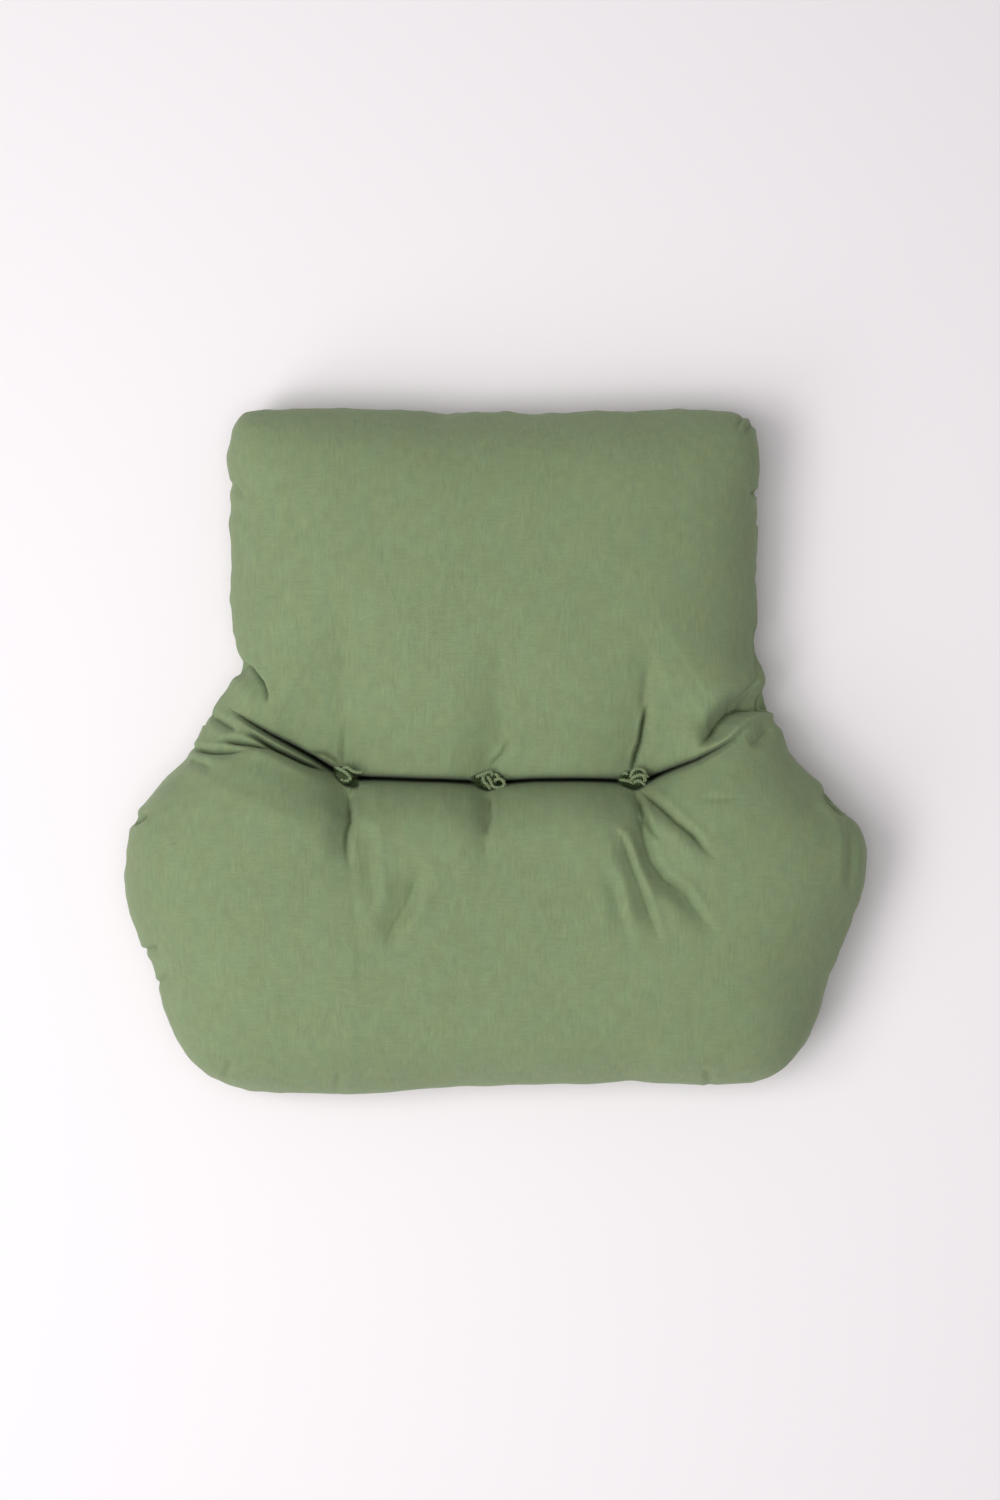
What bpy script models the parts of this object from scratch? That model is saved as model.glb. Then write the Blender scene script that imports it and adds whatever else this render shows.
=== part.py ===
"""A chair-back support cushion, lying on its back.

One filled cloth body: a block that fits against a chair's back, and below it a wider half
whose two wings curl round the sitter. Three hand-tied knots are drawn down through the
filling at the waist, which pulls a deep crease from one side seam to the other.

The origin is on the surface that the cushion lies on, under the middle of its outline.
+X is to the right and +Y is towards the block's top edge. Tables are in millimetres.
"""

import math
from typing import NamedTuple

import bmesh
import bpy
import numpy as np

MM = 0.001

# Driving dimensions of the filled body, in millimetres
SEAM_HEIGHT = 45.0  # the sewn edge, above the surface
BLOCK_LOFT = 92.0  # the upper block's shoulders
WING_LOFT = 100.0  # the winged half's shoulders
CROWN = 17.0  # how much higher the middle stands than the shoulders
CROWN_REACH = 165.0  # how far in from the side seams the crown is still rising
FACE_ROUND = 46.0  # how far in from the seam the shoulder is still rounding over
BACK_ROUND = 50.0  # the same on the underside
SEAT_DEPTH = 12.0  # how far the ties draw the underside up at the waist
SEAT_REACH = 46.0  # how far from the waist the underside is drawn up

# The knots and the cups that they sit in
KNOT_SEAT = 62.0  # height of the cloth under a knot
CUP_RADIUS = 15.0  # level cloth round the middle of a knot, across the crease
CUP_STRETCH = 1.2  # how much longer the cup is along the crease
CUP_LIP = 11.0  # how far past that the cloth takes to rise
KNOT_RING = 6.2  # middle line of the knot's ring of strands
KNOT_TWIST = 2.7  # how far the strand winds about that line
STRAND_RADIUS = 1.9
STRAND_STEPS = 46
CLEARANCE = 0.3  # between a knot and the cloth under it

# Mesh density: faces across and along, and how much closer they lie where the form is tight
COLUMNS = 54
ROWS = 50


class Section(NamedTuple):
    """One line of cloth from the left seam to the right seam."""

    name: str
    left_x: float
    left_y: float
    right_x: float
    right_y: float
    sag: float  # how far the line's middle hangs below the straight line between its ends


SECTIONS = (
    Section("bottom corners", -252, -267, 245, -266, 0),
    Section("bottom round", -268, -240, 260, -240, 0),
    Section("lower side", -278, -206, 273, -206, 0),
    Section("under the wings", -297, -160, 288, -161, 2),
    Section("wing tip bottom", -310, -128, 304, -124, 4),
    Section("wing tip", -310, -96, 310, -94, 6),
    Section("wing tip top", -308, -64, 305, -64, 8),
    Section("wing shoulder", -286, -32, 274, -34, 15),
    Section("shoulder", -265, -12, 250, -8, 30),
    Section("under the crease", -252, 10, 241, 12, 43),
    Section("crease", -239, 32, 231, 34, 57),
    Section("over the crease", -228, 52, 226, 50, 58),
    Section("waist", -216, 67, 222, 62, 50),
    Section("block foot", -220, 88, 217, 88, 34),
    Section("block lower", -223, 118, 218, 118, 14),
    Section("block middle", -222, 165, 219, 165, 0),
    Section("block upper", -223, 212, 221, 212, 0),
    Section("block shoulder", -227, 245, 223, 243, 0),
    Section("top corners", -218, 282, 215, 278, 0),
)

# The two short edges, left to right, between the corners above
BOTTOM_EDGE = (
    (-252, -267),
    (-229, -279),
    (-200, -285),
    (-160, -286),
    (-105, -286),
    (-40, -280),
    (40, -278),
    (105, -278),
    (170, -279),
    (219, -279),
    (245, -266),
)
TOP_EDGE = (
    (-218, 282),
    (-203, 287),
    (-150, 286),
    (-85, 284),
    (-15, 282),
    (60, 282),
    (125, 283),
    (180, 286),
    (203, 284),
    (215, 278),
)


class Pucker(NamedTuple):
    """A small pleat in the seam, which steps the outline inwards."""

    x: float
    y: float
    depth: float
    reach: float


PUCKERS = (
    Pucker(-188, 282, 3.0, 9),
    Pucker(188, 284, 3.0, 9),
    Pucker(219, 212, 3.5, 9),
    Pucker(-217, 68, 4.0, 12),
    Pucker(224, 40, 5.0, 12),
    Pucker(-260, -13, 4.5, 11),
    Pucker(-297, -53, 4.0, 10),
    Pucker(291, -51, 4.5, 10),
    Pucker(299, -138, 4.5, 11),
    Pucker(-291, -183, 4.0, 11),
    Pucker(276, -198, 3.5, 10),
    Pucker(-107, -284, 3.0, 9),
    Pucker(113, -275, 3.5, 9),
    Pucker(196, -277, 3.0, 8),
)


class CreasePoint(NamedTuple):
    """A place on the waist crease."""

    x: float
    y: float
    depth: float  # share of the loft that the crease takes away


CREASE = (
    CreasePoint(-241, 31, 0.16),
    CreasePoint(-212, 14, 0.30),
    CreasePoint(-170, -6, 0.40),
    CreasePoint(-128, -22, 0.47),
    CreasePoint(-66, -26, 0.44),
    CreasePoint(-7, -26, 0.46),
    CreasePoint(55, -25, 0.44),
    CreasePoint(116, -24, 0.47),
    CreasePoint(160, -10, 0.36),
    CreasePoint(204, 10, 0.26),
    CreasePoint(228, 33, 0.16),
)
CREASE_ROW = 0.572  # share of the side seam below it
CREASE_ABOVE = 27.0  # width of the swell on the block's side
CREASE_BELOW = 36.0  # and on the winged side
BLOCK_SINK = 14.0  # how far the block's face sinks towards the crease
SINK_REACH = 66.0


class Knot(NamedTuple):
    """A hand-tied knot, one on each tie."""

    name: str
    x: float
    y: float
    turn: float  # degrees about Z
    size: float


KNOTS = (
    Knot("knot_left", -127, -24, 20, 0.96),
    Knot("knot_middle", -6, -26, 75, 1.0),
    Knot("knot_right", 117, -24, -35, 1.0),
)


class Fold(NamedTuple):
    """A fold drawn in the face by the ties: where it runs, and its size at its deepest."""

    name: str
    path: tuple
    depth: float
    width: float


FOLDS = (
    Fold("below left knot", ((-127, -36), (-128, -68), (-120, -100)), 11, 11),
    Fold("lower left", ((-62, -98), (-74, -125), (-84, -158)), 3, 17),
    Fold("below middle knot", ((-5, -36), (-5, -74)), 7, 10),
    Fold("right knot to wing", ((128, -34), (150, -57), (170, -82), (190, -94)), 8, 10),
    Fold("below right knot", ((119, -38), (123, -70), (139, -94), (166, -132)), 8, 11),
    Fold("above right knot", ((119, -10), (127, 13), (130, 42), (134, 66)), 4, 10),
    Fold("left waist tuck", ((-214, 68), (-197, 54), (-190, 34)), 9, 11),
    Fold("right waist hollow", ((225, 37), (204, 28), (186, 13), (175, 1)), 11, 12),
)


def fresh_collections():
    """Clears the scene and returns the collection that the cushion goes in."""
    for obj in list(bpy.data.objects):
        bpy.data.objects.remove(obj)
    cushion = bpy.data.collections.new("support_cushion")
    bpy.context.scene.collection.children.link(cushion)
    return cushion


def cloth(name, colour, roughness):
    material = bpy.data.materials.new(name)
    material.use_nodes = True
    shader = material.node_tree.nodes["Principled BSDF"]
    shader.inputs["Base Color"].default_value = (*colour, 1.0)
    shader.inputs["Roughness"].default_value = roughness
    shader.inputs["Metallic"].default_value = 0.0
    return material


def smooth_line(points, steps):
    """A smooth line (Catmull-Rom) through points, read at even steps of its own length."""
    points = np.array(points, float)
    padded = np.vstack([2 * points[0] - points[1], points, 2 * points[-1] - points[-2]])
    fine = []
    for i in range(len(points) - 1):
        a, b, c, d = padded[i : i + 4]
        for t in np.linspace(0, 1, 16, endpoint=False):
            fine.append(0.5 * (2 * b + (c - a) * t + (2 * a - 5 * b + 4 * c - d) * t**2
                               + (3 * b - a - 3 * c + d) * t**3))
    fine = np.array([*fine, points[-1]])
    run = np.concatenate([[0], np.cumsum(np.linalg.norm(np.diff(fine[:, :2], axis=0), axis=1))])
    at = np.asarray(steps) * run[-1]
    return np.stack([np.interp(at, run, fine[:, k]) for k in range(fine.shape[1])], axis=1)


def spread(count, peaks):
    """count + 1 steps from 0 to 1, closer together near each (place, reach, gain) peak."""
    fine = np.linspace(0, 1, 2001)
    density = 1 + sum(gain * np.exp(-(((fine - place) / reach) ** 2)) for place, reach, gain in peaks)
    total = np.concatenate([[0], np.cumsum((density[1:] + density[:-1]) / 2)])
    return np.interp(np.linspace(0, total[-1], count + 1), total, fine)


def near_path(path, x, y):
    """How far each point is from a path, its share of the way along, and its side (+1 on the left)."""
    path = np.array(path, float)[:, :2]
    legs = np.linalg.norm(np.diff(path, axis=0), axis=1)
    starts = np.concatenate([[0], np.cumsum(legs)])
    best = np.full(np.shape(x), np.inf)
    share = np.zeros(np.shape(x))
    side = np.ones(np.shape(x))
    for (ax, ay), (bx, by), leg, start in zip(path[:-1], path[1:], legs, starts[:-1]):
        ux, uy = (bx - ax) / leg, (by - ay) / leg
        along = np.clip((x - ax) * ux + (y - ay) * uy, 0, leg)
        away = np.hypot(x - ax - along * ux, y - ay - along * uy)
        closer = away < best
        best = np.where(closer, away, best)
        share = np.where(closer, (start + along) / starts[-1], share)
        side = np.where(closer, np.sign(ux * (y - ay) - uy * (x - ax)), side)
    return best, share, side


def rounded(share, fullness=2.0):
    """Rises from 0, steeply at first, to 1: a quarter of an ellipse, or fuller."""
    share = np.clip(share, 0, 1)
    return (1 - (1 - share) ** fullness) ** (1 / fullness)


def outline(columns, rows):
    """Where each grid point lies in plan: lines of cloth from seam to seam, blended to all four edges."""
    left = smooth_line([(s.left_x, s.left_y, s.sag) for s in SECTIONS], rows)
    right = smooth_line([(s.right_x, s.right_y, s.sag) for s in SECTIONS], rows)
    bottom = smooth_line(BOTTOM_EDGE, columns)
    top = smooth_line(TOP_EDGE, columns)
    plan = np.zeros((len(rows), len(columns), 2))
    for i, t in enumerate(rows):
        for j, s in enumerate(columns):
            across = (1 - s) * left[i, :2] + s * right[i, :2]
            along = (1 - t) * bottom[j] + t * top[j]
            corners = (1 - t) * ((1 - s) * left[0, :2] + s * right[0, :2]) + t * (
                (1 - s) * left[-1, :2] + s * right[-1, :2])
            plan[i, j] = across + along - corners
    sag = (left[:, 2] + right[:, 2])[:, None] / 2
    from_seam = np.minimum(columns, 1 - columns)
    plan[:, :, 1] -= sag * np.sin(math.pi / 2 * np.minimum(1, from_seam / 0.29))[None, :]
    plan = pleated(plan)
    return plan - (plan.min(axis=(0, 1)) + plan.max(axis=(0, 1))) / 2


def pleated(plan):
    """Draws the outline in at each pucker, and less and less of the cloth inside it."""
    middle = np.array([0.0, -20.0])
    for p in PUCKERS:
        offset = plan - np.array([p.x, p.y])
        pull = p.depth * np.exp(-((np.linalg.norm(offset, axis=2) / p.reach) ** 2))
        inward = middle - plan
        inward /= np.maximum(1.0, np.linalg.norm(inward, axis=2, keepdims=True))
        plan = plan + inward * pull[:, :, None]
    return plan


def edge_of(plan):
    """The outline's own points, in order, closed."""
    ring = np.vstack([plan[0, :-1], plan[:-1, -1], plan[-1, :0:-1], plan[:0:-1, 0]])
    return np.vstack([ring, ring[:1]])


def folds_at(x, y):
    """How far the ties' folds press the face down: a soft trough with a low swell on each side."""
    press = np.zeros(np.shape(x))
    for fold in FOLDS:
        away, share, _ = near_path(fold.path, x, y)
        fade = np.sin(math.pi * np.clip(0.18 + 0.82 * share, 0, 1)) ** 0.8
        trough = np.exp(-((away / fold.width) ** 2))
        swell = 0.35 * np.exp(-(((away - 2.1 * fold.width) / fold.width) ** 2))
        press += fold.depth * fade * (trough - swell)
    return press


def face_height(x, y, inset):
    """Height of the face above the surface, from where a point lies and how far it is from the seam."""
    toward_block = 0.5 + 0.5 * np.tanh((y + 5) / 55)
    loft = WING_LOFT + (BLOCK_LOFT - WING_LOFT) * toward_block
    from_side = np.minimum(x - x[:, :1], x[:, -1:] - x)
    loft = loft + CROWN * (1 - (1 - np.clip(from_side / CROWN_REACH, 0, 1)) ** 2)
    away, share, side = near_path(CREASE, x, y)
    loft = loft - BLOCK_SINK * np.exp(-away / SINK_REACH) * np.clip(0.5 + away * side / 20, 0, 1)
    height = SEAM_HEIGHT + (loft - SEAM_HEIGHT) * rounded(inset / FACE_ROUND, 2.4)

    depth = np.interp(share, np.linspace(0, 1, len(CREASE)), [c.depth for c in CREASE])
    reach = np.where(side > 0, CREASE_ABOVE, CREASE_BELOW)
    height = height - depth * (height - 0.15 * SEAM_HEIGHT) * (1 - rounded(away / reach, 1.9))
    height = height - folds_at(x, y) * rounded(inset / 30, 1.5)

    for knot in KNOTS:
        away = np.hypot((x - knot.x) / CUP_STRETCH, y - knot.y)
        risen = rounded((away - CUP_RADIUS) / CUP_LIP, 1.7)
        height = KNOT_SEAT + (height - KNOT_SEAT) * risen
    return np.where(inset < 1e-3, SEAM_HEIGHT, height)


def back_height(x, y, inset):
    """Height of the underside: flat on the surface, rounding up to the seam and drawn up at the waist."""
    height = SEAM_HEIGHT * (1 - rounded(inset / BACK_ROUND, 2.1))
    away, _, _ = near_path(CREASE, x, y)
    drawn = SEAT_DEPTH * (1 - rounded(away / SEAT_REACH, 2.0))
    height = np.maximum(height, drawn)
    return np.where(inset < 1e-3, SEAM_HEIGHT, height)


def eased(height, held):
    """Evens out the sheet's heights a little, as stiff cloth would, but for the points held in place."""
    for _ in range(3):
        around = height.copy()
        around[1:-1, 1:-1] = (height[:-2, 1:-1] + height[2:, 1:-1] + height[1:-1, :-2] + height[1:-1, 2:]) / 4
        height = np.where(held, height, 0.45 * height + 0.55 * around)
    return height


def cushion_body(collection, material):
    """The filled body: two sheets of cloth over one plan, closed at the seam."""
    columns = spread(COLUMNS, ((0, 0.03, 2.0), (1, 0.03, 2.0), (0.24, 0.05, 2.4), (0.5, 0.04, 2.4), (0.76, 0.05, 2.4)))
    rows = spread(ROWS, ((0, 0.03, 2.0), (1, 0.03, 2.0), (CREASE_ROW, 0.04, 3.4)))
    plan = outline(columns, rows)
    x, y = plan[:, :, 0], plan[:, :, 1]
    inset, _, _ = near_path(edge_of(plan), x, y)
    in_cup = np.zeros(x.shape, bool)
    for knot in KNOTS:
        in_cup |= np.hypot((x - knot.x) / CUP_STRETCH, y - knot.y) < CUP_RADIUS
    face = eased(face_height(x, y, inset), in_cup | (inset < 1e-3))
    shape = bmesh.new()
    for height in (face, back_height(x, y, inset)):
        sheet = bmesh.ops.create_grid(shape, x_segments=COLUMNS, y_segments=ROWS, size=1)["verts"]
        for vert in sheet:
            j = round((vert.co.x + 1) / 2 * COLUMNS)
            i = round((vert.co.y + 1) / 2 * ROWS)
            vert.co = (x[i, j] * MM, y[i, j] * MM, height[i, j] * MM)
    bmesh.ops.remove_doubles(shape, verts=shape.verts, dist=1e-6)
    bmesh.ops.recalc_face_normals(shape, faces=shape.faces)
    flat = [f for f in shape.faces if all(v.co.z < 1e-7 for v in f.verts)]
    bmesh.ops.dissolve_faces(shape, faces=flat, use_verts=True)
    mesh = bpy.data.meshes.new("cushion")
    shape.to_mesh(mesh)
    shape.free()
    mesh.shade_smooth()
    body = bpy.data.objects.new("cushion", mesh)
    body.data.materials.append(material)
    collection.objects.link(body)
    return body


def tied_knot(collection, knot, material):
    """A knot of one strand laid in three interlocking turns, like a Turk's head, round a padded middle."""
    ring, twist, strand = (knot.size * size for size in (KNOT_RING, KNOT_TWIST, STRAND_RADIUS))
    curve = bpy.data.curves.new(knot.name + "_strand", "CURVE")
    curve.dimensions = "3D"
    curve.bevel_depth = strand * MM
    curve.bevel_resolution = 1
    line = curve.splines.new("POLY")
    line.points.add(STRAND_STEPS - 1)
    line.use_cyclic_u = True
    for i, point in enumerate(line.points):
        turn = 2 * math.pi * i / STRAND_STEPS
        out = ring + twist * math.cos(3 * turn)
        point.co = (out * math.cos(2 * turn) * MM, out * math.sin(2 * turn) * MM,
                    1.1 * twist * math.sin(3 * turn) * MM, 1)
    strand_object = bpy.data.objects.new(curve.name, curve)
    collection.objects.link(strand_object)
    graph = bpy.context.evaluated_depsgraph_get()
    mesh = bpy.data.meshes.new_from_object(strand_object.evaluated_get(graph))
    bpy.data.objects.remove(strand_object)

    padding = bmesh.new()
    bmesh.ops.create_uvsphere(padding, u_segments=14, v_segments=8, radius=ring * MM)
    low = 1.1 * twist + strand
    for vert in padding.verts:
        vert.co.z *= 1.02 * low / ring
    core = bpy.data.meshes.new(knot.name + "_core")
    padding.to_mesh(core)
    padding.free()
    core_object = bpy.data.objects.new(core.name, core)
    core_object.hide_render = True
    core_object.display_type = "WIRE"

    body = bpy.data.objects.new(knot.name, mesh)
    collection.objects.link(body)
    collection.objects.link(core_object)
    join = body.modifiers.new("padding", "BOOLEAN")
    join.operation = "UNION"
    join.object = core_object
    lift = 1.02 * low + KNOT_SEAT + CLEARANCE
    body.location = (knot.x * MM, knot.y * MM, lift * MM)
    body.rotation_euler = (0, 0, math.radians(knot.turn))
    core_object.location = body.location
    body.data.materials.append(material)
    body.data.shade_smooth()
    return body


def build():
    collection = fresh_collections()
    cover = cloth("sage_cotton_drill", (0.235, 0.305, 0.175), 0.92)
    tie = cloth("sage_tie_cord", (0.200, 0.262, 0.150), 0.90)
    cushion_body(collection, cover)
    for knot in KNOTS:
        tied_knot(collection, knot, tie)


build()
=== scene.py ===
"""A tufted chair back support cushion in sage green cotton drill, lying on its back on a pale floor."""

import math

import bpy
import numpy as np
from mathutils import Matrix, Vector


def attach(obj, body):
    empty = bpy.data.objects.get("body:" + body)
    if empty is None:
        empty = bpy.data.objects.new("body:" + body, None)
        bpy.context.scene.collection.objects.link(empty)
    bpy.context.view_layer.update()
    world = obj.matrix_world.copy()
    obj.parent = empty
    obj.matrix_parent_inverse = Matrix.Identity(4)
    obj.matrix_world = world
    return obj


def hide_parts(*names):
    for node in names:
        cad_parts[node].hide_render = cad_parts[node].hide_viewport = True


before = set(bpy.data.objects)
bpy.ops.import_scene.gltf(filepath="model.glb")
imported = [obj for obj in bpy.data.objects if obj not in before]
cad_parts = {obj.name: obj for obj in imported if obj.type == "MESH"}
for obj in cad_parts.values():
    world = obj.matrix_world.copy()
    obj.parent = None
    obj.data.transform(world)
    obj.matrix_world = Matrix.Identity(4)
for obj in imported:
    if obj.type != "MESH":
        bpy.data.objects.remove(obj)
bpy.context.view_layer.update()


# The filled cover
# A face and a back of cotton drill, sewn together all round and stuffed with loose fibre. The
# three ties draw it in along the waist, so the cloth bulges over the crease on both sides.
MM = 0.001
VOXEL = 0.0045  # in metres
SIMULATED_FRAMES = 20
MOST_FILLED = 9.0  # how far the filling may press the cloth out, in millimetres
CROWN_HEIGHT = 108  # above this the crown is flattened
SEAM_HEIGHT = 46.0  # of the seam round the side, where the face begins
LAID_FROM = 112  # height from which the sides' cloth is laid out flat
KNOT_PLACES = ((-127, -24), (-6, -26), (117, -24))
CREASE_LINE = ((-241, 31), (-212, 14), (-170, -6), (-128, -22), (-66, -26), (-7, -26), (55, -25),
               (116, -24), (160, -10), (204, 10), (228, 33))


def near(path, x, y):
    """How far each point is from a path, its share of the way along, and its side (+1 on the left)."""
    best = np.full(len(x), np.inf)
    share = np.zeros(len(x))
    side = np.ones(len(x))
    legs = [math.dist(a, b) for a, b in zip(path[:-1], path[1:])]
    start = 0.0
    for (ax, ay), (bx, by), leg in zip(path[:-1], path[1:], legs):
        ux, uy = (bx - ax) / leg, (by - ay) / leg
        along = np.clip((x - ax) * ux + (y - ay) * uy, 0, leg)
        away = np.hypot(x - ax - along * ux, y - ay - along * uy)
        closer = away < best
        best = np.where(closer, away, best)
        share = np.where(closer, (start + along) / sum(legs), share)
        side = np.where(closer, np.sign(ux * (y - ay) - uy * (x - ax)), side)
        start += leg
    return best, share, side


def points_of(mesh):
    """The mesh's points in millimetres."""
    flat = np.empty(len(mesh.vertices) * 3)
    mesh.vertices.foreach_get("co", flat)
    return flat.reshape(-1, 3) / MM


def normals_of(mesh):
    """The mesh's normals at its points."""
    flat = np.empty(len(mesh.vertices) * 3)
    mesh.vertices.foreach_get("normal", flat)
    return flat.reshape(-1, 3)


def move_points(mesh, points):
    """Moves the mesh's points to these places in millimetres."""
    mesh.vertices.foreach_set("co", (points * MM).ravel())
    mesh.update()


cover = bpy.data.objects.new("cover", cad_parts["cushion"].data.copy())
cover.data.materials.clear()
bpy.context.collection.objects.link(cover)
bpy.ops.object.select_all(action="DESELECT")
cover.select_set(True)
bpy.context.view_layer.objects.active = cover
bpy.ops.object.mode_set(mode="EDIT")
bpy.ops.mesh.select_all(action="SELECT")
bpy.ops.mesh.remove_doubles(threshold=0.00002)
bpy.ops.object.mode_set(mode="OBJECT")
remesh = cover.modifiers.new("even_mesh", "REMESH")
remesh.mode = "VOXEL"
remesh.voxel_size = VOXEL
bpy.ops.object.modifier_apply(modifier=remesh.name)

before = points_of(cover.data)
x, y, z = before.T
from_crease, _, _ = near(CREASE_LINE, x, y)
from_knot = np.min([np.hypot(x - kx, y - ky) for kx, ky in KNOT_PLACES], axis=0)
on_face = z > SEAM_HEIGHT
# Held where it lies, at the knots, and along the crease on the face, at the sides and on the back
slack_share = np.where(on_face, np.exp(-((from_crease / 45) ** 2)), 0)
held_share = np.where(z < 1.5, 1.0, 0.0)
held_share = np.maximum(held_share, np.where(on_face & (from_crease < 4), 1.0, 0))
held_share = np.maximum(held_share, np.where(on_face & (from_knot < 13), 1.0, 0))
held_share = np.maximum(held_share, np.where(~on_face & (from_crease < 10), 1.0, 0))
for name, share in (("held", held_share), ("slack", slack_share)):
    group = cover.vertex_groups.new(name=name)
    for i in np.nonzero(share > 0.01)[0]:
        group.add([int(i)], float(share[i]), "REPLACE")

filling = cover.modifiers.new("filling", "CLOTH")
filling.settings.quality = 5
filling.settings.use_pressure = True
filling.settings.uniform_pressure_force = 4
filling.settings.effector_weights.gravity = 0
filling.settings.vertex_group_mass = "held"
filling.settings.vertex_group_shrink = "slack"
filling.settings.shrink_min = -0.01
filling.settings.shrink_max = -0.035
filling.point_cache.frame_start = 1
filling.point_cache.frame_end = SIMULATED_FRAMES
for step in range(1, SIMULATED_FRAMES + 1):
    bpy.context.scene.frame_set(step)
bpy.ops.object.modifier_apply(modifier=filling.name)
moved = points_of(cover.data) - before
length = np.maximum(np.linalg.norm(moved, axis=1), 1e-6)
kept = MOST_FILLED * np.tanh(length / MOST_FILLED) / length
move_points(cover.data, before + moved * kept[:, None])

ends = np.empty(len(cover.data.edges) * 2, dtype=np.int32)
cover.data.edges.foreach_get("vertices", ends)
ends = ends.reshape(-1, 2)


def ease(points, share, times, axes=(0, 1, 2)):
    """Moves each point towards the middle of its neighbours by its share, again and again."""
    count = len(points)
    neighbours = np.bincount(ends[:, 0], minlength=count) + np.bincount(ends[:, 1], minlength=count)
    for _ in range(times):
        for axis in axes:
            level = points[:, axis]
            around = (np.bincount(ends[:, 0], weights=level[ends[:, 1]], minlength=count)
                      + np.bincount(ends[:, 1], weights=level[ends[:, 0]], minlength=count)) / neighbours
            points[:, axis] += (around - level) * share


# The mesh's own steps are eased out. The filling pushes the cloth up between the ties, so the
# crease closes but for its narrow folds, and it lies evenly over the rest of the face.
points = points_of(cover.data)
ease(points, 0.5 * np.clip(points[:, 2] / 8, 0, 1), 16)
x, y, z = points.T.copy()
from_crease, _, _ = near(CREASE_LINE, x, y)
loose = (z > np.where(np.abs(x) < 190, 32, 57)) & (from_crease < 42)
ease(points, loose.astype(float), 80)
ease(points, loose.astype(float), 620, axes=(2,))
blended = np.clip((z - 70) / 20, 0, 1) * np.clip(1 - np.abs(from_crease - 44) / 20, 0, 1)
ease(points, blended, 120, axes=(2,))
height = points[:, 2]
flattened = CROWN_HEIGHT + 12 * np.tanh((height - CROWN_HEIGHT) / 12)
points[:, 2] = np.where(height > CROWN_HEIGHT, flattened, height)
evened = np.clip((z - 58) / 26, 0, 1) * np.clip((from_crease - 45) / 30, 0, 1)
ease(points, evened, 160, axes=(2,))
move_points(cover.data, points)

finer = cover.modifiers.new("finer", "SUBSURF")
finer.levels = finer.render_levels = 1
bpy.ops.object.modifier_apply(modifier=finer.name)
cover.vertex_groups.clear()

# The weave runs on over the sides as the flat cloth did before it was sewn
points = points_of(cover.data)
normals = normals_of(cover.data)
laid = points.copy()
laid[:, :2] += normals[:, :2] * (LAID_FROM - points[:, 2])[:, None]
laid[:, 2] = np.where(normals[:, 2] < -0.3, 40, 0)  # the back is another piece of cloth
cloth_place = cover.data.attributes.new("laid_flat", "FLOAT_VECTOR", "POINT")
cloth_place.data.foreach_set("vector", (laid * MM).ravel())


# Its creases and folds
# The cloth folds over itself along the waist and runs in folds from each knot. Where it turns
# in sharply the cloth is finer meshed, then pressed in along each fold.
# A fold's wide and sharp parts are pressed in apart: a soft hollow, and a line down its middle.
FACE_SCALE = 0.984  # from the floor's scale, on which the paths were laid out, to the face's
WAIST_LINE = ((-228, 38), (-221, 32), (-206, 22), (-191, 13), (-174, 4), (-155, -6), (-140, -15),
              (-128, -22), (-101, -23), (-64, -25), (-5, -27), (33, -25), (97, -25), (118, -25),
              (130, -23), (151, -15), (170, -8), (187, 1), (202, 10), (212, 18))
VALLEYS = (
    # name, path out from the knot, depth, reach to the left, reach to the right, how round its floor is
    ("up from the left knot", ((-127, -14), (-130, 30), (-128, 84), (-118, 170)), 17.0, 20, 48, 5.0),
    ("down from the left knot", ((-123, -34), (-122, -60), (-121, -95), (-112, -170)), 19.0, 22, 30, 0.8),
    ("up from the middle knot", ((-6, -16), (-1, 30), (4, 78), (10, 130)), 13.0, 20, 38, 4.0),
    ("down from the middle knot", ((-7, -36), (-9, -70), (-8, -120)), 15.0, 24, 27, 1.6),
    ("up from the right knot", ((117, -14), (124, 20), (127, 70), (132, 120)), 12.0, 24, 28, 2.5),
    ("down from the right knot", ((119, -34), (128, -75), (150, -118), (186, -160)), 18.0, 24, 26, 1.0),
)
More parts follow.
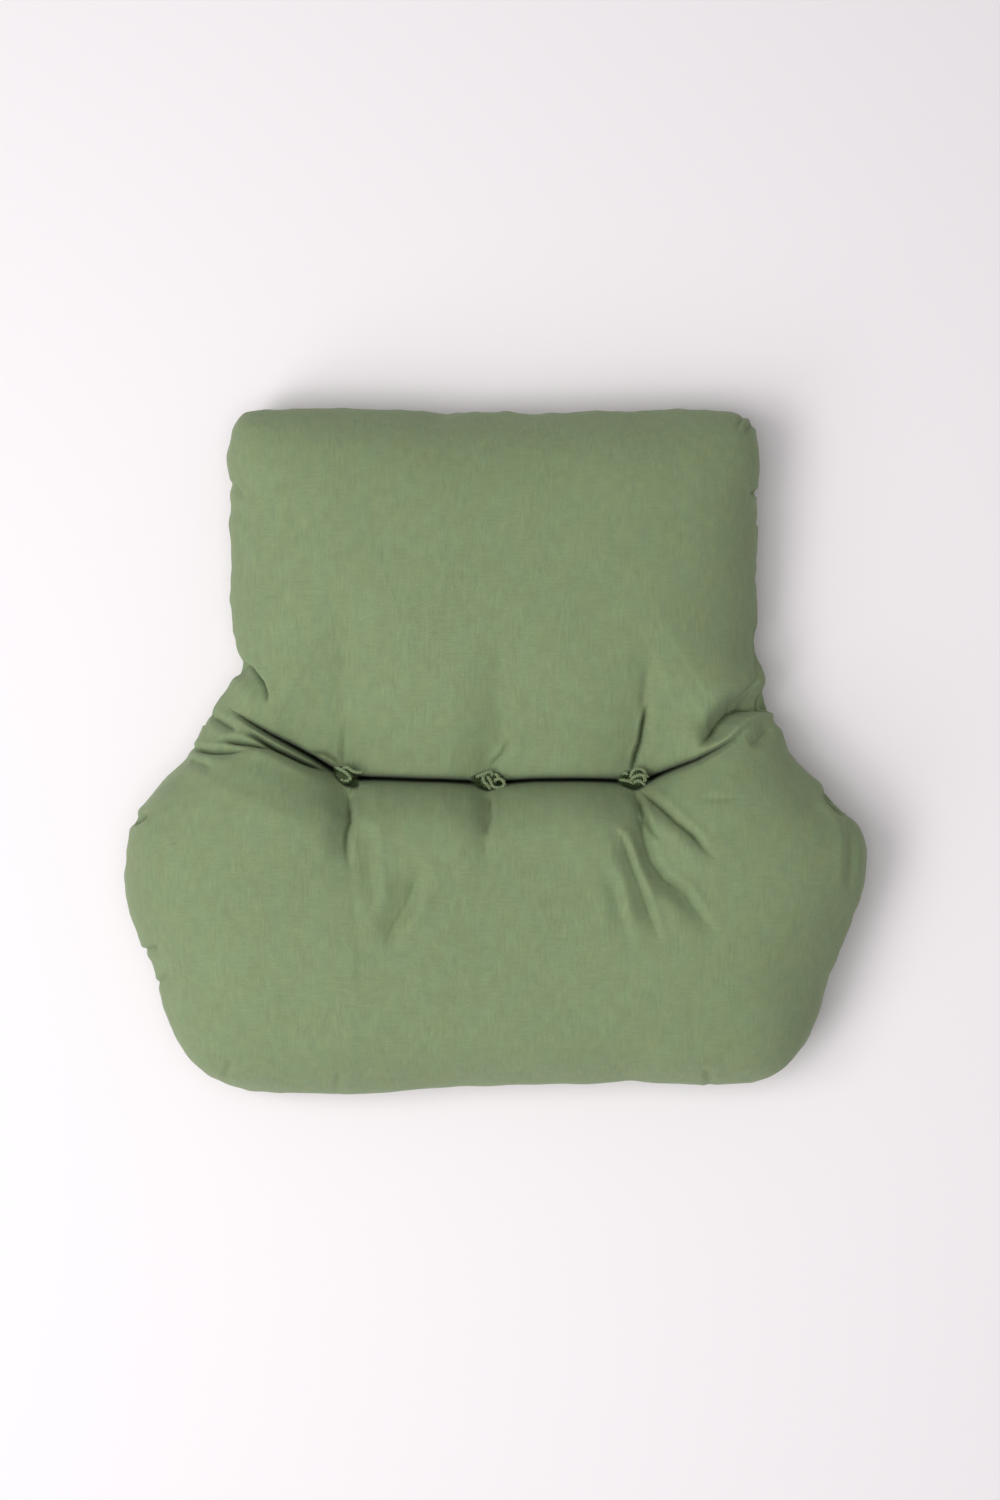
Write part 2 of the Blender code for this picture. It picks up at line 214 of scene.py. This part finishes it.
FOLDS = (
    # name, path, hollow's depth, its width, share of that width on the steep side, line's depth
    ("second crease", ((-206, 14), (-187, 3), (-164, -8), (-134, -20)), 4.5, 4.5, 1.0, 14.0),
    ("third crease", ((-227, 9), (-207, 6), (-187, 2)), 3.2, 4.5, 0.6, 5.0),
    ("fourth crease", ((-256, 2), (-241, 0), (-208, 0)), 3.2, 5.0, 0.5, 4.0),
    ("fifth crease", ((-242, 30), (-230, 23), (-217, 16)), 2.6, 4.5, 0.8, 2.4),
    ("block over waist", ((-219, 74), (-208, 67), (-199, 56), (-192, 38)), 6.0, 8.0, 0.45, 5.0),
    ("leaf", ((-154, -2), (-145, -3), (-137, -8), (-131, -15)), 1.0, 3.0, 1.0, 2.6),
    ("left knot down", ((-124, -36), (-122, -53), (-125, -67), (-125, -80), (-123, -96)),
     4.5, 10.0, 0.3, 3.2),
    ("beside it", ((-106, -68), (-106, -94), (-104, -109), (-101, -130)), 4.2, 8.0, 0.6, 0.6),
    ("left long", ((-64, -104), (-69, -114), (-75, -130), (-84, -143), (-93, -163)), 5.5, 10.0, 0.7, 1.2),
    ("left short", ((-78, -98), (-83, -113), (-84, -128)), 1.0, 5.0, 0.7, 0.0),
    ("middle knot down", ((-5, -34), (-5, -53), (-9, -72)), 3.2, 9.0, 0.3, 1.8),
    ("right knot out", ((124, -31), (137, -43), (150, -58), (165, -72), (173, -82), (184, -92)),
     4.0, 6.0, 0.6, 3.6),
    ("right knot short", ((120, -36), (125, -54), (131, -68), (138, -74)), 3.0, 4.5, 0.6, 2.6),
    ("right knot down", ((121, -56), (124, -75), (129, -92), (140, -107), (156, -118), (170, -138),
                         (185, -154)), 5.5, 8.0, 0.5, 1.8),
    ("beside that", ((105, -72), (114, -99), (120, -114), (127, -135), (136, -160)), 4.5, 7.0, 0.5, 1.4),
    ("and beside that", ((98, -106), (104, -135), (109, -155)), 2.6, 7.0, 0.5, 0.0),
    ("right knot up", ((117, -14), (119, -4), (123, 5), (125, 19), (128, 40)), 3.4, 5.0, 0.45, 4.5),
    ("right knot further up", ((124, 36), (125, 50), (128, 72)), 1.2, 7.0, 0.5, 0.4),
    ("left knot up", ((-130, -12), (-130, 4), (-129, 24)), 1.4, 6.0, 0.5, 0.5),
    ("middle knot up", ((-3, -13), (6, -4), (11, 7)), 1.6, 4.0, 0.6, 1.1),
    ("middle knot further up", ((2, 0), (4, 17), (4, 36)), 1.4, 8.0, 0.5, 0.3),
    ("right pocket", ((230, 37), (218, 38), (206, 33), (196, 25), (186, 15), (170, 3)),
     17.0, 11.0, 0.4, 4.0),
    ("right waist", ((232, 20), (222, 10), (212, 4)), 3.6, 7.0, 0.8, 0.8),
    ("under the crease", ((172, -40), (190, -40), (206, -41)), 0.6, 3.0, 1.0, 0.4),
    ("left wing pleat", ((-258, -8), (-246, -11), (-236, -16)), 2.0, 5.0, 0.7, 1.0),
    ("right wing pocket", ((280, -36), (287, -45), (296, -54)), 8.0, 5.0, 0.6, 5.0),
    ("right wing side", ((297, -48), (299, -75), (298, -100), (296, -124)), 3.2, 5.0, 0.9, 0.0),
    ("left wing notch", ((-308, -61), (-300, -57), (-293, -52)), 4.5, 3.5, 0.8, 3.0),
    ("block's right side", ((219, 76), (218, 62), (211, 48), (202, 38)), 1.6, 4.0, 0.6, 0.8),
    ("block's upper left", ((-224, 206), (-210, 196), (-198, 188)), 1.6, 6.0, 0.8, 0.0),
    # short tucks where the seam draws the edge in
    ("tuck, upper left", ((-228, 228), (-219, 222), (-211, 210)), 1.6, 3.5, 0.6, 0.5),
    ("tuck, corner", ((224, 282), (214, 272), (208, 265)), 1.8, 3.0, 0.7, 0.8),
    ("tuck, beside the corner", ((212, 286), (206, 276), (202, 268)), 1.2, 2.6, 0.7, 0.5),
    ("tuck, right edge", ((231, 220), (221, 218), (214, 215)), 2.8, 3.0, 0.6, 1.4),
    ("tuck, below it", ((228, 195), (219, 192), (212, 190)), 1.2, 3.0, 0.7, 0.3),
    ("tuck, lower left", ((-300, -170), (-290, -167), (-282, -165)), 2.4, 3.4, 0.6, 1.0),
    ("tuck, lower left again", ((-290, -200), (-280, -192), (-274, -187)), 1.8, 3.4, 0.6, 0.6),
    ("tuck, lower left corner", ((-228, -275), (-224, -266), (-220, -257)), 1.5, 4.5, 0.6, 0.3),
    ("tuck, bottom edge", ((-134, -286), (-132, -276), (-130, -266)), 1.2, 4.5, 0.6, 0.2),
    ("tuck, lower right corner", ((181, -284), (178, -274), (174, -264)), 1.4, 4.5, 0.6, 0.3),
    ("block's left side", ((-206, 196), (-212, 170), (-217, 135)), 1.2, 6.0, 0.7, 0.0),
)


def to_face(path):
    """A path in the scale of the face."""
    return tuple((px * FACE_SCALE, py * FACE_SCALE) for px, py in path)


WAIST_LINE = to_face(WAIST_LINE)
VALLEYS = [(to_face(path), *sizes) for _, path, *sizes in VALLEYS]
FOLDS = [(to_face(path), *sizes) for _, path, *sizes in FOLDS]


def split_faces(wanted):
    """Splits the faces for which wanted(x, y, z) of their middles is true into four."""
    centres = np.empty(len(cover.data.polygons) * 3)
    cover.data.polygons.foreach_get("center", centres)
    chosen = wanted(*(centres.reshape(-1, 3).T / MM))
    bpy.ops.object.mode_set(mode="EDIT")
    bpy.ops.mesh.select_mode(type="FACE")
    bpy.ops.mesh.select_all(action="DESELECT")
    bpy.ops.object.mode_set(mode="OBJECT")
    cover.data.polygons.foreach_set("select", chosen)
    bpy.ops.object.mode_set(mode="EDIT")
    bpy.ops.mesh.subdivide(number_cuts=1, smoothness=0)
    bpy.ops.object.mode_set(mode="OBJECT")


def within(reach, paths):
    """Chooses the places of the face that are this near to one of the paths."""
    def wanted(x, y, z):
        return (z > 40) & (np.min([near(path, x, y)[0] for path in paths], axis=0) < reach)
    return wanted


def beside_seam(reach):
    """Chooses the places that are this near to the seam, but for the waist's own crease."""
    def wanted(x, y, z):
        return (np.abs(z - SEAM_HEIGHT) < reach) & (near(WAIST_LINE, x, y)[0] > 8)
    return wanted


sharp_paths = [WAIST_LINE] + [path for path, depth, width, steep, line in FOLDS if line > 0.4]
split_faces(within(16, [WAIST_LINE]))
split_faces(within(6, sharp_paths))
split_faces(within(5, [WAIST_LINE]))
split_faces(beside_seam(6))
split_faces(beside_seam(3))


OPENINGS = (
    # middle of the opening round each knot, its half length and half width, degrees it is turned
    (-125.5, -20.6, 12.5, 5.6, -30),
    (-6.5, -24.8, 14.5, 6.3, 0),
    (115, -23.2, 13.5, 6.2, 4),
)
OPENING_FLOOR = 59  # height of the cloth under the knots
SEAM_RADIUS = 260  # mean distance of the seam from the cushion's middle


def eased_in(share):
    """The share, kept between 0 and 1, that starts and ends gently."""
    share = np.clip(share, 0, 1)
    return share * share * (3 - 2 * share)


def crease_depth(x, y):
    """How deep the waist crease is: a long fall on the block's side, a short one on the winged side."""
    away, share, side = near(WAIST_LINE, x, y)
    running_out = eased_in(share / 0.16) * eased_in((1 - share) / 0.2)
    block_side = 32 * (1 - np.clip(away / 160, 0, 1)) ** 2 + 8 * np.exp(-((away / 3.4) ** 1.5))
    wing_side = 22 * np.exp(-((away / 16) ** 1.2)) + 11 * np.exp(-away / 4)
    wing_side *= 0.35 + 0.65 * eased_in(share / 0.32) * eased_in((1 - share) / 0.33)
    crack = 24 * np.exp(-((away / 1.8) ** 2)) * eased_in(share / 0.14) * eased_in((1 - share) / 0.14)
    return np.where(side > 0, block_side, wing_side) * running_out + crack


def fold_press(x, y):
    """How far the face is pressed in by the valleys and the folds, and how much shade is painted on, 0 to 1.
    """
    press = np.zeros(len(x))
    painted_shade = np.zeros(len(x))
    for path, depth, west, east, softness in VALLEYS:
        away, from_knot, side = near(path, x, y)
        westward = side * np.sign(path[-1][1] - path[0][1]) > 0
        reach = np.where(westward, west, east) * (1 - 0.4 * from_knot)
        flank = np.exp(-(np.hypot(away, softness) - softness) / reach)
        press = np.maximum(press, depth * (1 - from_knot) ** 1.4 * flank)
    for path, depth, width, steep, line in FOLDS:
        away, share, side = near(path, x, y)
        fade = eased_in(0.45 + share / 0.3) * eased_in(0.1 + (1 - share) / 0.42)
        left_width = np.where(side > 0, width * steep, width)
        hollow = np.exp(-((away / left_width) ** 2))
        swell = 0.3 * np.exp(-(((away - 1.9 * left_width) / left_width) ** 2))
        press += fade * (depth * (hollow - swell) + line * np.exp(-((away / 1.7) ** 1.6)))
        # Painted shade down each sharp fold's line.
        painted_shade = np.maximum(painted_shade, fade * min(0.9, line / 7) * np.exp(-((away / 1.35) ** 2)))
    # Painted shade along the waist crease, between the knots: a dark core down its line, and a painted shadow
    # spreading from it, wider on the winged side.
    away, share, side = near(WAIST_LINE, x, y)
    running_out = eased_in(share / 0.2) * eased_in((1 - share) / 0.22)
    deep_shade = np.where(side > 0, 0.06 * np.exp(-away / 4), 0.42 * np.exp(-away / 6))
    core = (0.25 + 0.75 * running_out) * np.exp(-((away / (0.8 + 1.2 * running_out**2)) ** 2))
    core *= eased_in(share / 0.06) * eased_in((1 - share) / 0.06)
    between_knots = eased_in(share / 0.3) * eased_in((1 - share) / 0.3)
    painted_shade = np.maximum(painted_shade, np.maximum(core, between_knots * deep_shade))
    return press, painted_shade


points = points_of(cover.data)
normals = normals_of(cover.data)
x, y, z = points.T
upward = np.clip((normals[:, 2] + 0.35) / 0.5, 0, 1) * (z > 40)
on_face = eased_in((z - 50) / 14)
press, painted_shade = fold_press(x, y)
pressed = points - normals * (press * upward)[:, None]
pressed[:, 2] -= crease_depth(x, y) * on_face
for ox, oy, half_length, half_width, turned in OPENINGS:
    ca, sa = math.cos(math.radians(turned)), math.sin(math.radians(turned))
    along, across = (x - ox) * ca + (y - oy) * sa, (y - oy) * ca - (x - ox) * sa
    out = (np.abs(along) / half_length) ** 1.4 + (np.abs(across) / half_width) ** 2
    inside = (1 - eased_in((out - 0.7) / 0.5)) * on_face
    pressed[:, 2] += (OPENING_FLOOR - pressed[:, 2]) * inside
    # The pit round each knot is painted dark as shade.
    painted_shade = np.maximum(painted_shade, 0.9 * inside)

# The seam all round the side: a groove with the two layers of cloth turned in beside it, puckered
from_seam = z - SEAM_HEIGHT - 1.5 * np.sin(x / 47) - 1.2 * np.sin(y / 39)
beside = np.clip(1.3 - np.abs(normals[:, 2]) * 2, 0, 1)
round_seam = np.arctan2(y - 20, x) * SEAM_RADIUS
pucker = np.sin(round_seam / 3.1 + 2 * np.sin(round_seam / 23)) * np.sin(round_seam / 13.7 + 1)
groove = 1.7 * np.exp(-((from_seam / 1.1) ** 2))
groove -= 0.7 * np.exp(-(((np.abs(from_seam) - 3.4) / 2) ** 2))
groove += 0.55 * pucker * np.exp(-((from_seam / 7) ** 2))
uneven = np.sin(round_seam / 7.3 + 3 * np.sin(round_seam / 61)) + np.sin(round_seam / 11.9 + 2)
groove += 0.5 * uneven * np.exp(-((from_seam / 18) ** 2))
pressed -= normals * (groove * beside)[:, None]
# The fold shade is kept to the face, and shade is painted down the seam's groove.
painted_shade = np.maximum(painted_shade * on_face, 0.7 * beside * np.exp(-((from_seam / 0.9) ** 2)))
move_points(cover.data, pressed)
# The painted shade is kept on the points, for the material to mix in.
shade_paint = cover.data.attributes.new("shade_paint", "FLOAT", "POINT")
shade_paint.data.foreach_set("value", painted_shade)
cover.data.shade_smooth()


# Its cotton drill
# A matt twill of unbleached yarns dyed sage green. The dye took unevenly, the yarns are thicker here
# and there, and shade is painted dark where the cloth is folded in on itself.
class Value:
    """A number on the shader's surface, which takes part in sums."""

    def __init__(self, material, socket):
        self.material = material
        self.socket = socket

    def sum(self, operation, other, swap=False):
        first, second = (other, self) if swap else (self, other)
        return node(self.material, "ShaderNodeMath", {"operation": operation}, {0: first, 1: second})

    def __add__(self, other):
        return self.sum("ADD", other)

    __radd__ = __add__

    def __sub__(self, other):
        return self.sum("SUBTRACT", other)

    def __rsub__(self, other):
        return self.sum("SUBTRACT", other, swap=True)

    def __mul__(self, other):
        return self.sum("MULTIPLY", other)

    __rmul__ = __mul__


def node(material, kind, settings=None, inputs=None, output=0):
    """Adds a node, with its settings, then its inputs by name or number, and gives back one output."""
    new = material.node_tree.nodes.new(kind)
    for key, setting in (settings or {}).items():
        setattr(new, key, setting)
    for key, given in (inputs or {}).items():
        if isinstance(given, Value):
            material.node_tree.links.new(given.socket, new.inputs[key])
        else:
            new.inputs[key].default_value = given
    return Value(material, new.outputs[output])


def new_cloth(name, roughness, sheen):
    """A matt material with a faint sheen."""
    material = bpy.data.materials.new(name)
    material.use_nodes = True
    shader = material.node_tree.nodes["Principled BSDF"]
    shader.inputs["Roughness"].default_value = roughness
    shader.inputs["Specular IOR Level"].default_value = 0.6
    shader.inputs["Sheen Weight"].default_value = sheen
    shader.inputs["Sheen Roughness"].default_value = 0.5
    shader.inputs["Sheen Tint"].default_value = (0.86, 0.96, 0.70, 1)
    return material, shader


SAGE_OLIVE = (0.196, 0.250, 0.122, 1)
SAGE_TEAL = (0.186, 0.253, 0.130, 1)
# Painted shade: the near-black green mixed in where the cloth is marked as shaded.
PAINTED_SHADE_COLOUR = (0.012, 0.024, 0.003, 1)  # the cloth where no light gets in
YARN = 0.9  # width of one yarn, in millimetres
PER_METRE = 1000  # millimetres, as the shaders get their places in metres


def speckle(material, place, across, along, detail=1.0, distort=0.0):
    """Noise whose grains are this many millimetres across and along the cloth, from -1 to 1 or so."""
    stretched = node(material, "ShaderNodeVectorMath", {"operation": "MULTIPLY"},
                     {0: place, 1: (PER_METRE / across, PER_METRE / along, PER_METRE / across)})
    grains = node(material, "ShaderNodeTexNoise", {},
                  {"Vector": stretched, "Scale": 1.0, "Detail": detail, "Distortion": distort})
    return (grains - 0.5) * 4


def dye_cloth(material, shader, place, yellower, bluer, weave_depth):
    """Gives a cloth its mottled dye, its slubs, its woven relief and painted shade in its tight folds."""
    upright = speckle(material, place, 2.2, 15, 2.0, 0.3)
    level = speckle(material, place, 12, 1.9, 2.0, 0.3)
    patches = node(material, "ShaderNodeMapRange", {"interpolation_type": "SMOOTHSTEP"},
                   {"Value": speckle(material, place, 24, 30), "From Min": -0.5, "From Max": 0.6,
                    "To Min": 1.0, "To Max": 0.15})
    slubs = upright * patches + level * (0.8 - patches * 0.6)
    clouds = speckle(material, place, 9, 13, 2.0)
    broad = speckle(material, place, 55, 70, 2.0)
    grain = speckle(material, place, 1.0, 1.4)
    tint = node(material, "ShaderNodeMapRange", {"interpolation_type": "SMOOTHSTEP"},
                {"Value": speckle(material, place, 17, 26, 2.0), "From Min": -0.8, "From Max": 0.8})
    dye = node(material, "ShaderNodeMix", {"data_type": "RGBA"}, {0: tint, 6: yellower, 7: bluer}, output=2)
    tone = 1 + slubs * 0.100 + clouds * 0.060 + broad * 0.034 + grain * 0.085
    shader.inputs["Base Color"].default_value = yellower
    colour = node(material, "ShaderNodeVectorMath", {"operation": "SCALE"}, {0: dye, 3: tone})
    material.node_tree.links.new(colour.socket, shader.inputs["Base Color"])
    rough = 0.92 + clouds * 0.02 - slubs * 0.012
    material.node_tree.links.new(rough.socket, shader.inputs["Roughness"])

    apart = node(material, "ShaderNodeSeparateXYZ", {}, {0: place})
    down = Value(material, apart.socket.node.outputs[1])
    turn = PER_METRE * math.pi / YARN
    wander = speckle(material, place, 3, 9)
    warp = node(material, "ShaderNodeMath", {"operation": "SINE"}, {0: apart * turn + wander * 0.8})
    weft = node(material, "ShaderNodeMath", {"operation": "SINE"}, {0: down * turn + wander * 0.8})
    relief = warp * weft * 0.35 + slubs * 0.22 + grain * 0.12 + clouds * 0.10
    bump = node(material, "ShaderNodeBump", {}, {"Strength": 0.55, "Distance": weave_depth, "Height": relief})
    material.node_tree.links.new(bump.socket, shader.inputs["Normal"])

    # Painted shade: a near-black matt shader is mixed in by the points' painted shade, which also takes the
    # sheen away there.
    painted_shade = node(material, "ShaderNodeAttribute", {"attribute_name": "shade_paint"}, output=2)
    in_shade = node(material, "ShaderNodeBsdfPrincipled", {},
                    {"Base Color": PAINTED_SHADE_COLOUR, "Roughness": 1.0, "Specular IOR Level": 0.0})
    in_light = Value(material, shader.outputs[0])
    both = node(material, "ShaderNodeMixShader", {}, {0: painted_shade * 0.97, 1: in_light, 2: in_shade})
    surface = material.node_tree.nodes["Material Output"].inputs["Surface"]
    material.node_tree.links.new(both.socket, surface)


drill, drill_shader = new_cloth("cotton_drill", 0.92, 0.2)
place = node(drill, "ShaderNodeAttribute", {"attribute_name": "laid_flat"}, output=1)
dye_cloth(drill, drill_shader, place, SAGE_OLIVE, SAGE_TEAL, 0.00035)
cover.data.materials.append(drill)
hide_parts("cushion")
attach(cover, "root")


# The three knots
# Each tie ends in a hand-tied knot: strands of the same cotton, twisted in two plies, looped
# over and through each other on a bunched scrap of cloth that keeps the knot from pulling in.
KNOT_BASE = 60.5  # height of a knot's own base
PLY = 0.80  # radius of one ply
PLY_LAY = 5.0  # length of one turn of the twist
SCRAP_RADIUS = 7.0  # of the bunched cloth under a knot
TIE_OLIVE = (0.200, 0.256, 0.124, 1)
TIE_TEAL = (0.188, 0.259, 0.132, 1)
KNOT_LAY = {
    # shift from the tie's place, and how far the knot is spread
    "knot_left": ((1.5, 2.4, 0), (1.06, 1.0, 1.0)),
    "knot_middle": ((0, 0.8, 0), (1.26, 1.06, 1.0)),
    "knot_right": ((0, 1.6, 0), (1.22, 1.04, 1.0)),
}
KNOT_STRANDS = {
    "knot_left": (
        ((-7.5, 7.2, 4), (-3.6, 5.6, 8.5), (0.4, 3.4, 10), (3.6, 0.2, 8.0), (4.6, -4.4, 3)),
        ((13.5, 3.4, 6), (9.0, 3.4, 8.5), (4.8, 5.2, 9.5), (1.4, 7.2, 8), (-2.6, 5.0, 6), (-5.2, 0.8, 4)),
        ((5.4, -1.0, 6.5), (2.2, -3.6, 7.5), (-1.8, -3.4, 7), (-4.6, -0.6, 5.5), (-6.4, 2.6, 3)),
    ),
    "knot_middle": (
        ((-8.4, 2.6, 5), (-4.8, 4.4, 8.5), (-1.4, 6.2, 9.5), (1.6, 7.0, 9), (2.2, 4.4, 7), (0.2, 3.2, 4)),
        ((-1.8, 5.0, 5), (-3.8, 2.0, 9.0), (-3.0, -1.0, 10), (-0.6, -3.6, 9.5), (0.8, -6.0, 6),
         (1.2, -7.6, 2)),
        ((-1.0, 3.0, 6), (0.6, 0.6, 9.5), (1.8, -2.0, 9.5), (2.6, -4.4, 8), (5.2, -5.6, 8), (8.6, -5.4, 8.5),
         (10.2, -2.8, 9.5), (9.2, 0.0, 9.5), (6.4, 1.4, 9), (3.8, -0.4, 7), (2.8, -2.8, 4)),
        ((3.0, 5.4, 4), (5.2, 4.2, 7), (7.4, 2.2, 5)),
    ),
    "knot_right": (
        ((-3.8, -3.0, 4), (-4.0, 1.2, 7), (-2.8, 4.8, 8.5), (0.4, 6.8, 9), (3.8, 5.8, 9), (6.0, 2.8, 7.5),
         (7.0, -0.8, 4)),
        ((-4.4, -2.8, 5), (-2.2, -0.2, 10), (1.0, 1.6, 12), (4.6, 1.6, 11), (7.6, 0.4, 6.5)),
        ((-3.2, -5.0, 4.5), (-0.6, -3.4, 9), (2.0, -3.2, 10.5), (4.4, -5.0, 8), (5.6, -6.8, 3.5)),
        ((3.6, 1.2, 10), (5.6, -1.2, 9.5), (4.6, -3.6, 9)),
        ((-12.2, -2.4, 4.5), (-8.6, -2.6, 6.5), (-5.0, -3.4, 6.5), (-1.0, -5.8, 4)),
        ((-9.8, 2.0, 4), (-7.9, 3.4, 6.5), (-6.2, 2.2, 5)),
    ),
}


def set_shade_paint(piece, values):
    """Paints shade on each of a piece's points, 0 to 1, for the material to mix in."""
    shade_paint = piece.data.attributes.new("shade_paint", "FLOAT", "POINT")
    shade_paint.data.foreach_set("value", values)


def laid_line(points, step):
    """A smooth line through points, with a point at every step along it, and the lengths to them."""
    points = np.array(points, float)
    padded = np.vstack([2 * points[0] - points[1], points, 2 * points[-1] - points[-2]])
    fine = []
    for i in range(len(points) - 1):
        a, b, c, d = padded[i:i + 4]
        for t in np.linspace(0, 1, 24, endpoint=False):
            fine.append(0.5 * (2 * b + (c - a) * t + (2 * a - 5 * b + 4 * c - d) * t**2
                               + (3 * b - a - 3 * c + d) * t**3))
    fine = np.array([*fine, points[-1]])
    run = np.concatenate([[0], np.cumsum(np.linalg.norm(np.diff(fine, axis=0), axis=1))])
    at = np.linspace(0, run[-1], max(6, int(run[-1] / step)))
    return np.stack([np.interp(at, run, fine[:, k]) for k in range(3)], axis=1), at


def twisted_strand(name, route, radius, lay):
    """Two plies wound about a route, as one mesh, with rounded ends."""
    line, at = laid_line(route, 0.45)
    ahead = np.gradient(line, axis=0)
    ahead /= np.linalg.norm(ahead, axis=1, keepdims=True)
    across = np.cross(ahead, [0.12, 0.07, 1.0])
    across /= np.linalg.norm(across, axis=1, keepdims=True)
    up = np.cross(across, ahead)
    curve = bpy.data.curves.new(name, "CURVE")
    curve.dimensions = "3D"
    curve.bevel_depth = radius * MM
    curve.bevel_resolution = 3
    curve.use_fill_caps = True
    for ply in (0, math.pi):
        turn = 2 * math.pi * at / lay + ply
        wound = line + radius * 0.92 * (np.cos(turn)[:, None] * across + np.sin(turn)[:, None] * up)
        spline = curve.splines.new("POLY")
        spline.points.add(len(wound) - 1)
        for k, (point, place) in enumerate(zip(spline.points, wound)):
            point.co = (*(place * MM), 1)
            from_end = min(k, len(wound) - 1 - k)
            point.radius = min(1.0, 0.45 + 0.3 * from_end)
    strand = bpy.data.objects.new(name, curve)
    bpy.context.collection.objects.link(strand)
    bpy.ops.object.select_all(action="DESELECT")
    strand.select_set(True)
    bpy.context.view_layer.objects.active = strand
    bpy.ops.object.convert(target="MESH")
    strand = bpy.context.active_object
    # Painted shade: each strand is painted darker towards its underside.
    set_shade_paint(strand, np.clip((7.0 - points_of(strand.data)[:, 2]) / 3.5, 0, 0.9))
    return strand


def bunched_scrap(name, seed):
    """The bunched cloth under a knot: a ball pressed flat, drawn into pleats round its middle."""
    bpy.ops.object.select_all(action="DESELECT")
    bpy.ops.mesh.primitive_uv_sphere_add(segments=64, ring_count=32, radius=SCRAP_RADIUS * MM)
    scrap = bpy.context.active_object
    scrap.name = name
    inner = points_of(scrap.data)
    angle = np.arctan2(inner[:, 1], inner[:, 0])
    out = np.hypot(inner[:, 0], inner[:, 1]) / SCRAP_RADIUS
    pleat = 0.6 * np.sin(7 * angle + seed) + 0.4 * np.sin(11 * angle + 2.3 * seed)
    inner *= (1 + 0.075 * pleat * out)[:, None]
    inner[:, 2] = inner[:, 2] * 0.62 + 4.5 + 0.5 * pleat * out
    inner[:, 2] -= 1.6 * np.exp(-((out / 0.35) ** 2)) * (inner[:, 2] > 5)
    move_points(scrap.data, inner)
    # Painted shade: the scrap under the strands is painted dark all over.
    set_shade_paint(scrap, np.full(len(inner), 0.8))
    return scrap


tie, tie_shader = new_cloth("tie_cord", 0.9, 0.25)
tie_place = node(tie, "ShaderNodeTexCoord", output=3)
dye_cloth(tie, tie_shader, tie_place, TIE_OLIVE, TIE_TEAL, 0.0002)
for number, (kx, ky) in enumerate(KNOT_PLACES):
    name = ("knot_left", "knot_middle", "knot_right")[number]
    shift, spread = KNOT_LAY[name]
    pieces = [bunched_scrap(name + "_scrap", 1.7 + number)]
    for k, route in enumerate(KNOT_STRANDS[name]):
        pieces.append(twisted_strand("%s_strand_%d" % (name, k), np.array(route) * spread, PLY, PLY_LAY))
    bpy.ops.object.select_all(action="DESELECT")
    for piece in pieces:
        piece.select_set(True)
    bpy.context.view_layer.objects.active = pieces[0]
    bpy.ops.object.join()
    knot = bpy.context.active_object
    knot.name = "tied_" + name
    placed = points_of(knot.data)
    move_points(knot.data, placed + shift + [kx, ky, KNOT_BASE])
    knot.data.shade_smooth()
    knot.data.materials.clear()
    knot.data.materials.append(tie)
    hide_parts(name)
    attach(knot, "root")


# The floor it lies on
# A plain pale sheet, wider than the camera sees. It isn't part of the cushion.
FLOOR_COLOUR = (0.87, 0.83, 0.85, 1)
bpy.ops.mesh.primitive_plane_add(size=12, location=(0, 0, 0))
floor = bpy.context.active_object
floor.name = "floor"
matt, matt_shader = new_cloth("pale_floor", 0.85, 0.0)
matt_shader.inputs["Base Color"].default_value = FLOOR_COLOUR
floor.data.materials.append(matt)


# Light and camera
# Two large soft windows at the lower left, a smaller lamp nearer by that falls off across the
# cushion, a soft one overhead, the room's own light from all round, and a camera straight above.
ROOM_COLOUR = (1.0, 0.985, 1.0, 1)
ROOM_STRENGTH = 0.305
SENSOR = 36  # in millimetres
SEAM_DISTANCE = 3.0  # metres from the camera down to the seam
SHOWN_HEIGHT = 1.2534  # metres that the picture shows at the seam, from bottom to top
CAMERA_RIGHT = 0.0033  # metres that the camera stands to the right of the cushion's middle
bpy.context.scene.view_settings.view_transform = "Standard"
world = bpy.data.worlds.new("room")
world.use_nodes = True
world.node_tree.nodes["Background"].inputs["Color"].default_value = ROOM_COLOUR
world.node_tree.nodes["Background"].inputs["Strength"].default_value = ROOM_STRENGTH
bpy.context.scene.world = world
LAMPS = (
    # name, place, size in metres, watts
    ("window", (-2.6, -2.0, 4.2), 2.0, 46.0),
    ("low_window", (-3.4, -2.8, 2.8), 2.4, 41.0),
    ("near_lamp", (-1.2, -0.15, 2.1), 1.3, 20.0),
    ("overhead", (-0.3, -0.2, 3.6), 2.5, 43.0),
)
for name, spot, size, energy in LAMPS:
    bpy.ops.object.light_add(type="AREA", location=spot)
    lamp = bpy.context.active_object
    lamp.name = name
    lamp.data.shape = "DISK"
    lamp.data.size = size
    lamp.data.energy = energy
    lamp.rotation_euler = (-Vector(spot)).to_track_quat("-Z", "Y").to_euler()

bpy.ops.object.camera_add(location=(CAMERA_RIGHT, 0, SEAM_DISTANCE + SEAM_HEIGHT * MM))
camera = bpy.context.active_object
camera.data.sensor_width = SENSOR
camera.data.lens = SENSOR * SEAM_DISTANCE / SHOWN_HEIGHT
bpy.context.scene.camera = camera
